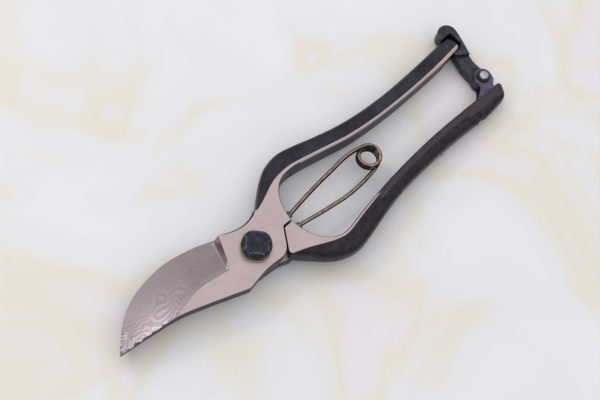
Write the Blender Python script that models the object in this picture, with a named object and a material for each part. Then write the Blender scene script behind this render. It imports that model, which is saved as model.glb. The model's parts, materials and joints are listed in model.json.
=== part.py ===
"""Hand-forged bypass shears for flower stems and small branches, closed and latched.

Frame: metres, +Z up. The origin is the pivot axis at the flat underside of the pivot nut,
on which the shears lie. +X runs along the handles, and the blade points to -X.
The blade half lies above the hook half where they cross, in a half-lap joint.
"""
import math

import bmesh
import bpy
from mathutils import Matrix, Vector

MM = 0.001
GAP = 0.3

# Heights of the stacked layers, in millimetres above the resting plane
NUT_TOP = 2.0
BACK_WASHER_Z = (2.25, 2.75)
HOOK_Z = (3.0, 8.0)
BLADE_Z = (8.3, 13.4)
HEAD_WASHER_Z = (13.65, 14.25)
HEAD_Z = (14.45, 17.8)

# Turned pieces on the pivot axis, as radii
SHANK_R = 3.6
SHANK_HOLE_R = 3.9
HEAD_R = 6.3
HEAD_WASHER_R = 6.7
NUT_R = 6.6
THREAD_R = 2.5
THREAD_HOLE_R = 2.8

# Handles
SHOULDER_X = 40.0
HANDLE_END_X = 136.0
HANDLE_TOP = (13.4, 8.5)
HANDLE_BOTTOM = (2.8, 0.15)
PALM_STEPS = 16
PALM_FULLNESS = 0.68
INNER_CORNER = 0.35
STATIONS_PER_SPAN = 6

# Blade bevel
EDGE_THICKNESS = 0.35
HEEL = (-7.6, 13.2)
HEEL_SLOPE_WIDTH = 1.3
HOLLOW_DEPTH = 0.28
BEVEL_STEPS = 8
BLADE_NECK = [HEEL, (-3.6, 11.4), (1.5, 10.2), (6.0, 10.6), (9.4, 12.0)]
NECK_CHAMFER = 0.9

# Spring
WIRE_R = 0.88
COIL_R = 4.5
COIL_PITCH = 2.0
COIL_CENTRE = (65.2, 0.3)
WIRE_Z = 8.4
BLADE_SEAT = (22.0, 2.7)
HOOK_SEAT = (22.0, -3.3)
COIL_TURNS = 2.5
LEG_SLOPE_DEG = 10.0
MIDDLE_CUT_DEG = 24.0

# Latch
RIVET = (132.0, -3.9)
ARM_Z = (1.9, 6.4)
ARM_HEAD_TOP = 8.0
LUG_TOP_Z = (6.7, 8.0)
LUG_BOTTOM_Z = (0.3, 1.6)
KNOB = (135.0, 20.9)
KNOB_R = 4.4
RIVET_R = 1.5


def material(name, colour, roughness, metallic):
    mat = bpy.data.materials.new(name)
    mat.use_nodes = True
    shader = mat.node_tree.nodes["Principled BSDF"]
    shader.inputs["Base Color"].default_value = (*colour, 1.0)
    shader.inputs["Roughness"].default_value = roughness
    shader.inputs["Metallic"].default_value = metallic
    return mat


def smooth_line(points, steps):
    """A Catmull-Rom curve through points, with the given number of steps in each span."""
    ends = [[2 * a - b for a, b in zip(points[0], points[1])]]
    tail = [[2 * a - b for a, b in zip(points[-1], points[-2])]]
    knots = [Vector(p) for p in ends + [list(p) for p in points] + tail]
    line = []
    for i in range(1, len(knots) - 2):
        a, b, c, d = knots[i - 1 : i + 3]
        for k in range(steps):
            t = k / steps
            line.append(
                0.5 * (2 * b + (c - a) * t + (2 * a - 5 * b + 4 * c - d) * t * t
                       + (3 * b - a - 3 * c + d) * t * t * t)
            )
    line.append(knots[-2])
    return [tuple(p) for p in line]


def arc(centre, radius, start, end, count):
    """Points on an arc, with angles in degrees."""
    return [
        (centre[0] + radius * math.cos(math.radians(start + (end - start) * k / (count - 1))),
         centre[1] + radius * math.sin(math.radians(start + (end - start) * k / (count - 1))))
        for k in range(count)
    ]


def add_object(name, mesh_data, mat, sharp_deg=35):
    """Turn a bmesh in millimetres into an object with outward faces."""
    bmesh.ops.recalc_face_normals(mesh_data, faces=mesh_data.faces)
    bmesh.ops.scale(mesh_data, vec=(MM, MM, MM), verts=mesh_data.verts)
    mesh = bpy.data.meshes.new(name)
    mesh_data.to_mesh(mesh)
    mesh_data.free()
    obj = bpy.data.objects.new(name, mesh)
    bpy.context.collection.objects.link(obj)
    if mat:
        mesh.materials.append(mat)
    mesh.shade_smooth()
    mesh.set_sharp_from_angle(angle=math.radians(sharp_deg))
    return obj


def as_cutter(obj):
    obj.hide_render = True
    obj.display_type = "WIRE"
    return obj


def combine(obj, other, operation):
    """Add a live Boolean; the other solid becomes a guide."""
    step = obj.modifiers.new(other.name, "BOOLEAN")
    step.operation = operation
    step.solver = "EXACT"
    step.object = as_cutter(other)


def slab(name, outline, low, high, mat=None):
    """A flat plate: an outline extruded from low to high."""
    mesh_data = bmesh.new()
    face = mesh_data.faces.new([mesh_data.verts.new((x, y, low)) for x, y in outline])
    grown = bmesh.ops.extrude_face_region(mesh_data, geom=[face])
    moved = [v for v in grown["geom"] if isinstance(v, bmesh.types.BMVert)]
    bmesh.ops.translate(mesh_data, verts=moved, vec=(0, 0, high - low))
    return add_object(name, mesh_data, mat)


def loft(name, rings, mat=None, sharp_deg=35):
    """A closed solid skinned over rings of equal length, with flat ends."""
    mesh_data = bmesh.new()
    made = [[mesh_data.verts.new(p) for p in ring] for ring in rings]
    count = len(rings[0])
    for a, b in zip(made, made[1:]):
        for k in range(count):
            n = (k + 1) % count
            mesh_data.faces.new((a[k], a[n], b[n], b[k]))
    mesh_data.faces.new(made[0])
    mesh_data.faces.new(list(reversed(made[-1])))
    return add_object(name, mesh_data, mat, sharp_deg)


def turned(name, profile, mat=None, sides=32, centre=(0, 0)):
    """A solid of revolution about a vertical axis; the profile is (radius, z), top to bottom."""
    rings = [
        [(centre[0] + r * math.cos(2 * math.pi * k / sides),
          centre[1] + r * math.sin(2 * math.pi * k / sides), z) for k in range(sides)]
        for r, z in profile
    ]
    return loft(name, rings, mat)


def turned_ring(name, outer, inner, low, high, mat, sides=32):
    """A flat washer."""
    disc = turned(name, [(outer, high), (outer, low)], mat, sides)
    hole = turned(name + "_hole", [(inner, high + 1), (inner, low - 1)], None, sides)
    combine(disc, hole, "DIFFERENCE")
    return disc


def handle_height(x):
    """Bottom and top of a handle: level at the shoulder, then falling to the resting plane."""
    share = min(max((x - SHOULDER_X) / (HANDLE_END_X - SHOULDER_X), 0), 1)
    share = share * share * (3 - 2 * share) * 0.35 + share * 0.65
    top = HANDLE_TOP[0] + (HANDLE_TOP[1] - HANDLE_TOP[0]) * share
    bottom = HANDLE_BOTTOM[0] + (HANDLE_BOTTOM[1] - HANDLE_BOTTOM[0]) * share
    return bottom, top


def handle_ring(inner, outer, flat, bottom, top, chamfer):
    """A D-shaped section: flat towards the other handle, round on the palm side.

    flat is the share of the top that is ground level with the blade's face.
    chamfer is how far that ground band drops to its inner edge.
    """
    inner = Vector(inner)
    across = Vector(outer) - inner
    corner = INNER_CORNER / across.length
    middle = (top + bottom) / 2
    half = (top - bottom) / 2
    profile = [(0.0, top - chamfer - INNER_CORNER), (corner, top - chamfer)]
    for k in range(PALM_STEPS + 1):
        angle = math.pi / 2 - math.pi * k / PALM_STEPS
        side = flat if angle >= 0 else min(flat, 0.3)
        reach = abs(math.cos(angle)) ** PALM_FULLNESS
        rise = math.copysign(abs(math.sin(angle)) ** PALM_FULLNESS, math.sin(angle))
        profile.append((side + (1 - side) * reach, middle + half * rise))
    profile.append((0.08, bottom))
    profile.append((0.0, bottom + 0.9))
    ring = []
    for share, z in profile:
        spot = inner + across * share
        ring.append((spot.x, spot.y, z))
    return ring


def handle_loft(name, inner_points, outer_points, flats, block, chamfer, mat=None):
    """A handle skinned between its inner and outer lines.

    block is the number of stations in the straight-sided block beside the crotch.
    """
    lines = []
    for points in (inner_points, outer_points):
        lines.append(points[:block] + smooth_line(points[block:], STATIONS_PER_SPAN))
    shares = smooth_line([(f, 0) for f in flats[block:]], STATIONS_PER_SPAN)
    shares = flats[:block] + [min(max(s[0], 0.1), 0.95) for s in shares]
    rings = []
    for inner, outer, flat in zip(lines[0], lines[1], shares):
        bottom, top = handle_height((inner[0] + outer[0]) / 2)
        grown = min(max((inner[0] - 26.0) / 16.0, 0.0), 1.0)
        rings.append(handle_ring(inner, outer, flat, bottom, top, chamfer * grown))
    # The end is rounded: the last sections shrink towards their middle
    last = rings[-1]
    centre = sum((Vector(p) for p in last), Vector()) / len(last)
    forward = (centre - sum((Vector(p) for p in rings[-2]), Vector()) / len(last)).normalized()
    for push, shrink in ((1.0, 0.93), (1.9, 0.76), (2.3, 0.5)):
        rings.append([tuple(centre + (Vector(p) - centre) * shrink + forward * push) for p in last])
    return loft(name, rings, mat, 40)


def blade_outline():
    """Cutting edge, neck, boss and spine of the blade half's upper layer."""
    cutting = smooth_line([(-68.5, 1.5), (-65, 5.2), (-58, 11.7), (-48, 16.7), (-33, 19.0), (-19, 17.0), HEEL], 7)
    neck = smooth_line(BLADE_NECK, 4)[1:]
    inside_handle = [(14.5, 10.5), (17.0, 4.0), (16.6, 1.0)]
    stop = [(14.3, -0.55), (13.75, -1.3), (10.2, -6.7)]
    boss = smooth_line([(10.2, -6.7), (8.4, -8.6), (5.4, -9.7), (0.0, -9.5), (-5.0, -9.8), (-13.3, -11.3)], 5)[1:]
    spine = smooth_line([(-13.3, -11.3), (-31.0, -5.2), (-42.0, -1.9), (-54.0, -0.2), (-68.5, 1.3)], 5)[1:]
    return cutting + neck + inside_handle + stop + boss + spine


def neck_chamfer_cutter():
    """Slopes off the top edge of the neck, where the forged skin is left on."""
    line = smooth_line(BLADE_NECK + [(12.6, 14.4)], 4)
    line[0] = tuple(Vector(line[0]).lerp(Vector(line[1]), 0.3))
    fade = len(line) - 4
    rings = []
    for i, (x, y) in enumerate(line):
        along = Vector(line[min(i + 1, len(line) - 1)]) - Vector(line[max(i - 1, 0)])
        out = Vector((-along.y, along.x)).normalized()
        width = NECK_CHAMFER * (0.4 + 0.6 * i / (len(line) - 1))
        top = BLADE_Z[1] + 0.5 * max(i - fade, 0)
        near = Vector((x, y)) - out * (width + 1.0)
        far = Vector((x, y)) + out * 2.0
        slope = 0.7
        rings.append([
            (near.x, near.y, top + slope),
            (far.x, far.y, top - slope * (width + 2.0)),
            (far.x, far.y, top + 3),
            (near.x, near.y, top + 3),
        ])
    return loft("neck_chamfer_cutter", rings)


def bevel_cutter():
    """Wedge above the long hollow-ground bevel, from its heel to the tip.

    Each station runs from the cutting edge up through the grind line.
    """
    edge = smooth_line([(-9.0, 13.9), (-19, 17.0), (-33, 19.0), (-48, 16.7), (-58, 11.7), (-65, 5.2), (-69.5, 0.4)], 6)
    grind = smooth_line([(-14.9, -0.4), (-20, 0.4), (-28, 1.3), (-37, -0.2), (-45, -2.2), (-53, -4.6), (-62, -8.0)], 6)
    low, high = BLADE_Z
    rings = []
    for outer, inner in zip(edge, grind):
        outer = Vector(outer)
        inner = Vector(inner)
        reach = 3.0 / (outer - inner).length
        ring = []
        for k in range(BEVEL_STEPS + 1):
            share = -reach + (1 + 2 * reach) * k / BEVEL_STEPS
            spot = inner.lerp(outer, share)
            hollow = 4 * HOLLOW_DEPTH * share * (1 - share)
            ring.append((spot.x, spot.y, high - (high - low - EDGE_THICKNESS) * share - hollow))
        ring += [(ring[-1][0], ring[-1][1], high + 4), (ring[0][0], ring[0][1], high + 4)]
        rings.append(ring)
    heel = [(x + HEEL_SLOPE_WIDTH, y + 0.4, max(z, high + 0.1)) for x, y, z in rings[0]]
    return loft("bevel_cutter", [heel] + rings)


def pivot_hole(name, radius, z_range):
    return turned(name, [(radius, z_range[1] + 2), (radius, z_range[0] - 2)])


def seat_socket(name, seat, face_x):
    """The drilled hole in a handle's crotch that holds a spring seat's peg."""
    sides = 16
    rings = []
    for x in (face_x - 3.4, face_x + 4.0):
        rings.append([
            (x, seat[1] + 1.4 * math.cos(2 * math.pi * k / sides), WIRE_Z + 1.4 * math.sin(2 * math.pi * k / sides))
            for k in range(sides)
        ])
    return loft(name, rings)


def make_blade_half(mat):
    """Blade, neck and upper handle, forged as one piece."""
    half = slab("blade_half", blade_outline(), *BLADE_Z, mat)
    inner = [(14.7, -0.5), (18.9, -0.5), (19.1, 0.8), (19.8, 4.0), (21.2, 8.0), (24.2, 12.4), (28.6, 15.3),
             (34.5, 16.1), (42.0, 15.2), (52.0, 13.4), (64.0, 11.3), (78.0, 10.3), (94.0, 10.2),
             (110.0, 10.8), (122.0, 11.6), (133.6, 12.9)]
    outer = [(8.7, 10.4), (9.2, 11.2), (9.8, 11.9), (12.2, 13.4), (16.0, 16.6), (21.5, 20.9), (27.5, 24.2),
             (35.3, 25.5), (43.5, 24.0), (53.0, 21.6), (65.0, 19.2), (78.5, 17.9), (94.0, 17.7),
             (109.6, 18.5), (121.4, 19.4), (132.4, 20.3)]
    flats = [0.93, 0.93, 0.92, 0.85, 0.66, 0.42, 0.22, 0.15, 0.13, 0.13, 0.13, 0.13, 0.14, 0.15, 0.17, 0.19]
    handle = handle_loft("blade_handle_guide", inner, outer, flats, 2, 0.45)
    combine(half, handle, "UNION")
    combine(half, bevel_cutter(), "DIFFERENCE")
    combine(half, neck_chamfer_cutter(), "DIFFERENCE")
    combine(half, pivot_hole("blade_pivot_hole", SHANK_HOLE_R, BLADE_Z), "DIFFERENCE")
    combine(half, seat_socket("blade_seat_socket", BLADE_SEAT, 19.5), "DIFFERENCE")
    combine(half, tip_relief(), "DIFFERENCE")
    return half


def tip_relief():
    """The latch arm passes under the tip of the upper handle, so its underside is cut away."""
    outline = [(124.5, 8.0), (140.0, 8.0), (140.0, 24.0), (126.5, 24.0)]
    return slab("tip_relief_cutter", outline, -3.0, 3.4)


def hook_outline():
    """Hook jaw, neck and boss of the hook half's lower layer."""
    neck = smooth_line([(9.0, -11.4), (4.5, -9.9), (-1.0, -9.4), (-6.5, -8.8), (-10.6, -5.0), (-12.6, 1.0)], 5)
    throat = smooth_line([(-12.6, 1.0), (-18.0, 7.2), (-28.0, 11.0), (-40.0, 11.2), (-52.0, 7.9), (-65.8, 2.6)], 6)[1:]
    back = smooth_line([(-66.2, 3.0), (-58.5, 9.8), (-47.5, 15.4), (-33.0, 17.8), (-19.0, 15.8), (-6.5, 11.6)], 6)
    boss = smooth_line([(-6.5, 11.6), (0.0, 9.6), (5.4, 9.0), (8.2, 8.0), (10.1, 5.9)], 5)[1:]
    stop = [(13.75, -0.2), (14.2, -1.3)]
    inside_handle = [(16.6, -2.4), (16.5, -5.0), (13.5, -11.0)]
    return neck + throat + back + boss + stop + inside_handle


def hook_edge_cutter():
    """Hollow on the outer face of the hook, which thins it towards its inner edge."""
    throat = smooth_line([(-14.0, 1.0), (-19.0, 7.0), (-28.0, 11.0), (-40.0, 11.2), (-52.0, 7.9), (-66.5, 1.6)], 3)
    low = HOOK_Z[0]
    rings = []
    for i, (x, y) in enumerate(throat):
        a = Vector(throat[max(i - 1, 0)])
        b = Vector(throat[min(i + 1, len(throat) - 1)])
        along = (b - a).normalized()
        side = Vector((along.y, -along.x))
        spot = Vector((x, y))
        near = spot - side * 2.5
        far = spot + side * 4.2
        rings.append([
            (near.x, near.y, low + 3.4),
            (far.x, far.y, low - 0.5),
            (far.x, far.y, low - 4.0),
            (near.x, near.y, low - 4.0),
        ])
    return loft("hook_hollow_cutter", rings)


def make_hook_half(mat):
    """Hook jaw, neck and lower handle, forged as one piece."""
    half = slab("hook_half", hook_outline(), *HOOK_Z, mat)
    inner = [(14.75, -1.0), (18.9, -1.0), (19.1, -2.2), (19.6, -5.0), (20.8, -9.0), (23.4, -13.4), (27.6, -17.0),
             (33.0, -18.2), (42.0, -16.6), (52.0, -14.8), (64.0, -13.0), (78.0, -11.5), (94.0, -10.4),
             (110.0, -10.1), (122.0, -10.1), (134.4, -10.3)]
    outer = [(9.1, -9.6), (8.7, -10.6), (8.8, -11.6), (11.0, -13.3), (14.8, -16.8), (20.3, -21.8), (26.5, -25.4),
             (33.8, -26.7), (43.5, -24.8), (53.4, -22.3), (65.4, -19.9), (78.8, -18.5), (94.4, -17.7),
             (110.0, -17.7), (121.6, -18.0), (131.4, -17.0)]
    flats = [0.975, 0.975, 0.96, 0.87, 0.64, 0.36, 0.17, 0.14, 0.13, 0.12, 0.12, 0.12, 0.12, 0.12, 0.12, 0.12]
    handle = handle_loft("hook_handle_guide", inner, outer, flats, 2, 0.15)
    combine(half, handle, "UNION")
    combine(half, hook_edge_cutter(), "DIFFERENCE")
    combine(half, pivot_hole("hook_pivot_hole", SHANK_HOLE_R, HOOK_Z), "DIFFERENCE")
    combine(half, seat_socket("hook_seat_socket", HOOK_SEAT, 19.4), "DIFFERENCE")
    combine(half, tang_recess(), "DIFFERENCE")
    combine(half, lug_recess(), "DIFFERENCE")
    for name, pin_x in PIN_PLACES:
        combine(half, pin_solid(name + "_hole", pin_x, 1.3 + GAP, -24.0, -9.0), "DIFFERENCE")
    return half


def tang_recess():
    """The pocket in the lower handle's inner face, which the bracket's tang fills."""
    outline = [(88.0, -11.9), (132.6, -11.9), (132.6, -6.0), (88.0, -6.0)]
    return slab("tang_recess_cutter", outline, 1.9, 7.4)


def lug_recess():
    """The wider step beside the tip, which is open above and below for the bracket's lugs."""
    outline = [(122.2, -10.9), (132.9, -10.9), (132.9, -6.0), (122.2, -6.0)]
    return slab("lug_recess_cutter", outline, -4.0, 14.0)


PIN_PLACES = (("bracket_pin_front", 93.2), ("bracket_pin_rear", 116.6))
PIN_Z = 4.6


def pin_solid(name, x, radius, y_low, y_high, mat=None, sides=16):
    """A straight pin across the lower handle."""
    rings = []
    for y in (y_low, y_high):
        rings.append([
            (x + radius * math.cos(2 * math.pi * k / sides), y, PIN_Z + radius * math.sin(2 * math.pi * k / sides))
            for k in range(sides)
        ])
    return loft(name, rings, mat)


def make_pivot_bolt(mat):
    """Round head with four filed facets, a plain shank, and a smaller end that takes the nut."""
    profile = [(4.6, HEAD_Z[1]), (5.7, HEAD_Z[1] - 0.5), (HEAD_R, HEAD_Z[1] - 1.3),
               (HEAD_R, HEAD_Z[0]), (SHANK_R, HEAD_Z[0]), (SHANK_R, HOOK_Z[0] + 0.4),
               (THREAD_R, HOOK_Z[0] + 0.4), (THREAD_R, 0.0)]
    bolt = turned("pivot_bolt", profile, mat, 40)
    for k in range(4):
        turn = Matrix.Rotation(math.radians(45 + 90 * k), 4, "Z")
        corners = [(4.0, -7, 18.1), (6.2, -7, 15.0), (9, -7, 15.0), (9, -7, 18.1)]
        rings = []
        for y in (-7, 7):
            rings.append([tuple(turn @ Vector((c[0], y, c[2]))) for c in corners])
        combine(bolt, loft("head_facet_cutter_%d" % k, rings), "DIFFERENCE")
    return bolt


def make_pivot_nut(mat):
    """Flat round nut with two spanner notches; the shears lie on its face."""
    nut = turned("pivot_nut", [(NUT_R - 0.4, NUT_TOP), (NUT_R, NUT_TOP - 0.4), (NUT_R, 0.4), (NUT_R - 0.4, 0.0)], mat)
    combine(nut, turned("nut_bore", [(THREAD_HOLE_R, NUT_TOP + 1), (THREAD_HOLE_R, -1)]), "DIFFERENCE")
    for side in (-1, 1):
        outline = [(side * 4.9, -0.9), (side * 8.0, -0.9), (side * 8.0, 0.9), (side * 4.9, 0.9)]
        combine(nut, slab("nut_notch_%s" % ("left" if side < 0 else "right"), outline, -1.0, 1.0), "DIFFERENCE")
    return nut


def make_seat(name, seat, face_x, mat):
    """A small steel cup: a peg in the handle and an open mouth that holds the wire's round end."""
    sides = 20
    profile = [(face_x - 2.9, 0.3), (face_x - 2.9, 1.1), (face_x + 0.65, 1.1), (face_x + 0.65, 1.5),
               (seat[0] + 0.1, 1.5), (seat[0] + 0.1, 1.22), (seat[0] - 0.6, 1.15), (seat[0] - 1.2, 0.8),
               (seat[0] - 1.2, 0.2)]
    rings = []
    for x, r in profile:
        rings.append([
            (x, seat[1] + r * math.cos(2 * math.pi * k / sides), WIRE_Z + r * math.sin(2 * math.pi * k / sides))
            for k in range(sides)
        ])
    return loft(name, rings, mat)


def wire_tube(name, path, mat, sides=10):
    """A round wire along a path, with a round end where it starts."""
    rings = []
    up = Vector((0, 0, 1))
    path = [Vector(p) for p in path]
    for i, spot in enumerate(path):
        along = (path[min(i + 1, len(path) - 1)] - path[max(i - 1, 0)]).normalized()
        side = along.cross(up).normalized()
        top = side.cross(along)
        ring = []
        for k in range(sides):
            angle = 2 * math.pi * k / sides
            ring.append(spot + (side * math.cos(angle) + top * math.sin(angle)) * WIRE_R)
        rings.append(ring)
    start = path[0]
    along = (path[1] - path[0]).normalized()
    cap = []
    for angle in (75, 40):
        scale = math.cos(math.radians(angle))
        back = along * (WIRE_R * math.sin(math.radians(angle)))
        cap.append([start + (p - start) * scale - back for p in rings[0]])
    rings = cap + rings
    return loft(name, [[tuple(p) for p in ring] for ring in rings], mat)


def spring_path(on_blade_side):
    """From a seat along a gently bowed leg, and round the coil to the cut in its middle."""
    side = 1 if on_blade_side else -1
    seat = BLADE_SEAT if on_blade_side else HOOK_SEAT
    end_z = WIRE_Z + side * COIL_PITCH * COIL_TURNS / 2
    first_deg = 90 - LEG_SLOPE_DEG
    slope = Vector((math.sin(math.radians(first_deg)), -side * math.cos(math.radians(first_deg))))
    tangent = Vector(COIL_CENTRE) + Vector((slope.y * side, -slope.x * side)) * -COIL_R
    before = tangent - slope * 8.0
    leg = smooth_line([
        (seat[0], seat[1], WIRE_Z),
        (36.0, seat[1] + side * 1.9, WIRE_Z + side * 0.6),
        (48.0, seat[1] + side * 2.9, WIRE_Z + side * 1.4),
        (before.x, before.y, end_z - side * 0.3),
        (tangent.x, tangent.y, end_z),
    ], 5)
    turn_deg = (COIL_TURNS * 360 - 2 * LEG_SLOPE_DEG - MIDDLE_CUT_DEG) / 2
    steps = 26
    coil = []
    for k in range(1, steps + 1):
        turned_deg = turn_deg * k / steps
        angle = math.radians(side * (first_deg - turned_deg))
        z = end_z - side * COIL_PITCH * turned_deg / 360
        coil.append((COIL_CENTRE[0] + COIL_R * math.cos(angle), COIL_CENTRE[1] + COIL_R * math.sin(angle), z))
    return leg + coil


def arm_outline(head_only=False):
    """Latch arm in plan, from the eye round the rivet to the knob; the head only is its thicker part."""
    right = smooth_line([(135.6, 7.6), (136.9, 11.6), (138.2, 15.6), (139.3, 19.6)], 4)
    knob = arc(KNOB, KNOB_R, -12, 212, 28)
    left = smooth_line([(131.2, 18.6), (130.6, 15.0), (130.2, 11.2)], 2)
    if head_only:
        return [(130.2, 11.2), (135.6, 7.6)] + right[1:] + knob + left[:-1]
    eye = arc(RIVET, 3.6, 190, 350, 16)
    shank_right = smooth_line([(135.5, -4.5), (135.0, -0.5), (134.9, 4.0), (135.6, 7.6)], 4)
    shank_left = smooth_line([(130.2, 11.2), (128.9, 6.0), (128.2, 1.0), (128.4, -4.5)], 4)
    return eye + shank_right[1:] + right[1:] + knob + left + shank_left[1:-1]


def make_latch_arm(mat):
    """Catch lever: a flat arm whose raised round knob hooks over the upper handle's tip."""
    arm = slab("latch_arm", arm_outline(), ARM_Z[0], ARM_Z[1], mat)
    head = slab("latch_head_guide", arm_outline(head_only=True), ARM_Z[0] + 0.4, ARM_HEAD_TOP)
    combine(arm, head, "UNION")
    notch = [(120.0, 7.0), (128.5, 12.0), (134.6, 12.4), (136.4, 14.0), (136.4, 20.7), (120.0, 20.0)]
    combine(arm, slab("latch_notch_cutter", notch, 3.1, 12.0), "DIFFERENCE")
    combine(arm, turned("latch_eye_cutter", [(RIVET_R + GAP, 9), (RIVET_R + GAP, 0)], centre=RIVET), "DIFFERENCE")
    return arm


def make_latch_bracket(mat):
    """Two lugs round the latch arm's eye on a tang that is let into the lower handle."""
    eye = arc(RIVET, 3.9, -20, 200, 24)
    lug = [(122.5, -10.6), (132.6, -10.6), (132.6, -9.4), (134.9, -7.6)] + eye + [(127.4, -7.0), (123.9, -9.4)]
    bracket = slab("latch_bracket", lug, *LUG_TOP_Z, mat)
    combine(bracket, slab("lower_lug_guide", lug, *LUG_BOTTOM_Z), "UNION")
    web = [(122.6, -10.55), (132.4, -10.55), (132.4, -9.5), (122.6, -9.5)]
    combine(bracket, slab("bracket_web_guide", web, LUG_BOTTOM_Z[0] + 0.2, LUG_TOP_Z[1] - 0.2), "UNION")
    tang = [(88.4, -11.6), (132.2, -11.6), (132.2, -10.45), (88.4, -10.45)]
    combine(bracket, slab("bracket_tang_guide", tang, 2.2, 7.1), "UNION")
    combine(bracket, turned("bracket_eye_cutter", [(RIVET_R + GAP, 10), (RIVET_R + GAP, -1)], centre=RIVET),
            "DIFFERENCE")
    for name, pin_x in PIN_PLACES:
        combine(bracket, pin_solid(name + "_bracket_hole", pin_x, 1.3 + GAP, -14.0, -8.0), "DIFFERENCE")
    return bracket


def make_latch_rivet(mat):
    """Domed rivet through the lugs, the arm and a small washer."""
    top = LUG_TOP_Z[1] + 0.9
    dome = [(2.1 * math.cos(math.radians(a)), top + 1.5 * math.sin(math.radians(a))) for a in (80, 55, 30, 0)]
    shank = [(RIVET_R, top), (RIVET_R, LUG_BOTTOM_Z[0])]
    return turned("latch_rivet", dome + shank, mat, 24, RIVET)


def make_rivet_washer(mat):
    low = LUG_TOP_Z[1] + 0.25
    disc = turned("rivet_washer", [(2.9, low + 0.4), (2.9, low)], mat, 28, RIVET)
    hole = turned("rivet_washer_hole", [(RIVET_R + 0.25, low + 2), (RIVET_R + 0.25, low - 2)], None, 24, RIVET)
    combine(disc, hole, "DIFFERENCE")
    return disc


def make_pin(name, x, mat):
    """Pin through tang and handle, with a low dome on the palm side."""
    sides = 20
    profile = [(-9.9, 1.3), (-18.0, 1.3), (-18.0, 1.7), (-18.3, 1.5), (-18.5, 0.9)]
    rings = []
    for y, r in profile:
        rings.append([
            (x + r * math.cos(2 * math.pi * k / sides), y, PIN_Z + r * math.sin(2 * math.pi * k / sides))
            for k in range(sides)
        ])
    return loft(name, rings, mat)


def place_origin(obj, x, y, z):
    """Move an object's origin to a point on its joint axis without moving its shape."""
    point = Vector((x, y, z)) * MM
    obj.data.transform(Matrix.Translation(-point))
    obj.location = point


def main():
    for old in list(bpy.data.objects):
        bpy.data.objects.remove(old)
    forged = material("forged_steel", (0.62, 0.57, 0.57), 0.35, 1.0)
    black = material("black_oxide_steel", (0.05, 0.05, 0.06), 0.45, 1.0)
    brass = material("brass", (0.75, 0.6, 0.3), 0.35, 1.0)
    bright = material("bright_steel", (0.7, 0.7, 0.72), 0.25, 1.0)
    wire = material("dark_spring_wire", (0.12, 0.1, 0.09), 0.35, 1.0)
    catch = material("dark_latch_steel", (0.14, 0.13, 0.16), 0.5, 1.0)
    make_blade_half(forged)
    make_hook_half(forged)
    make_pivot_bolt(black)
    turned_ring("head_washer", HEAD_WASHER_R, SHANK_R + GAP, *HEAD_WASHER_Z, brass)
    turned_ring("back_washer", NUT_R, THREAD_HOLE_R, *BACK_WASHER_Z, bright)
    make_pivot_nut(black)
    make_seat("spring_seat_blade", BLADE_SEAT, 19.5, bright)
    make_seat("spring_seat_hook", HOOK_SEAT, 19.4, bright)
    blade_leg = wire_tube("spring_blade_leg", spring_path(True), wire)
    place_origin(blade_leg, COIL_CENTRE[0], COIL_CENTRE[1], WIRE_Z)
    hook_leg = wire_tube("spring_hook_leg", spring_path(False), wire)
    place_origin(hook_leg, HOOK_SEAT[0], HOOK_SEAT[1], WIRE_Z)
    arm = make_latch_arm(catch)
    place_origin(arm, RIVET[0], RIVET[1], 0.0)
    make_latch_bracket(catch)
    make_latch_rivet(bright)
    make_rivet_washer(black)
    for name, pin_x in PIN_PLACES:
        make_pin(name, pin_x, bright)


main()
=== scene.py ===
# %% [markdown]
# # Hand-forged flower shears
#
# These are bypass shears for flower stems, forged from bar steel. A ground blade crosses over a
# hook jaw, a faceted bolt holds the two halves together, a wire spring opens the handles, and a
# small catch at the handle tips keeps them closed.
#
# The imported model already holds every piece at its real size. This lesson dresses it. Each cell
# either models a piece in finer detail or explains how its surface was made and gives it that
# finish. The forged halves are copied from the frame, because their shape is already right, and
# the small turned, bent and filed pieces are modelled afresh with the same operators that one
# would use by hand.

# %% Load the frame
import json
import math

import bmesh
import bpy
from mathutils import Matrix, Vector
from mathutils.kdtree import KDTree

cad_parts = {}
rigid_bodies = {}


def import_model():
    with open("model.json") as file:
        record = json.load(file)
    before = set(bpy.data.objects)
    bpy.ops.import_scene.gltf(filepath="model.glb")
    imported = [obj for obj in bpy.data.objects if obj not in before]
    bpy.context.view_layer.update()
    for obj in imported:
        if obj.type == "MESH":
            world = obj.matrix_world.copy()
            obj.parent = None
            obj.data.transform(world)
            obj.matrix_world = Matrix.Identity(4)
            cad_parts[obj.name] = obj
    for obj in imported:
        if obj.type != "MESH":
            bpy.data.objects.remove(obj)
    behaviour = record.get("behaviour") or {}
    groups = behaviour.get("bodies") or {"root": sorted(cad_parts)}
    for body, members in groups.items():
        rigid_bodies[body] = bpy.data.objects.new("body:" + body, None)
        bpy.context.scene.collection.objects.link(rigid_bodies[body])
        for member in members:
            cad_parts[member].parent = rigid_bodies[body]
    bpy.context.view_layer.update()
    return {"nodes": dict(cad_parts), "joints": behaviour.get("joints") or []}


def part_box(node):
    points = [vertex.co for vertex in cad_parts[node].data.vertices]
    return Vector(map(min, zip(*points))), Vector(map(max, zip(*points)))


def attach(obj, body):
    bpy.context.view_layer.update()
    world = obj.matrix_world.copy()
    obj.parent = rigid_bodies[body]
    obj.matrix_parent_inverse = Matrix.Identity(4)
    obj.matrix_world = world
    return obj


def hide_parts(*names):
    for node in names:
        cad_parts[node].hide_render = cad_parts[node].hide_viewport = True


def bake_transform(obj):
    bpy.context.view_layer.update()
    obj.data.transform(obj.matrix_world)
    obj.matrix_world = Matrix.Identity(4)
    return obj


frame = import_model()
print("nodes:", sorted(frame["nodes"]))

# %% [markdown]
# Every size below is in millimetres, because that is how a maker would give it, and `MM` turns
# it into Blender's metres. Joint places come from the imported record, so that a piece always sits
# on the axis it turns about.

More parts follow.
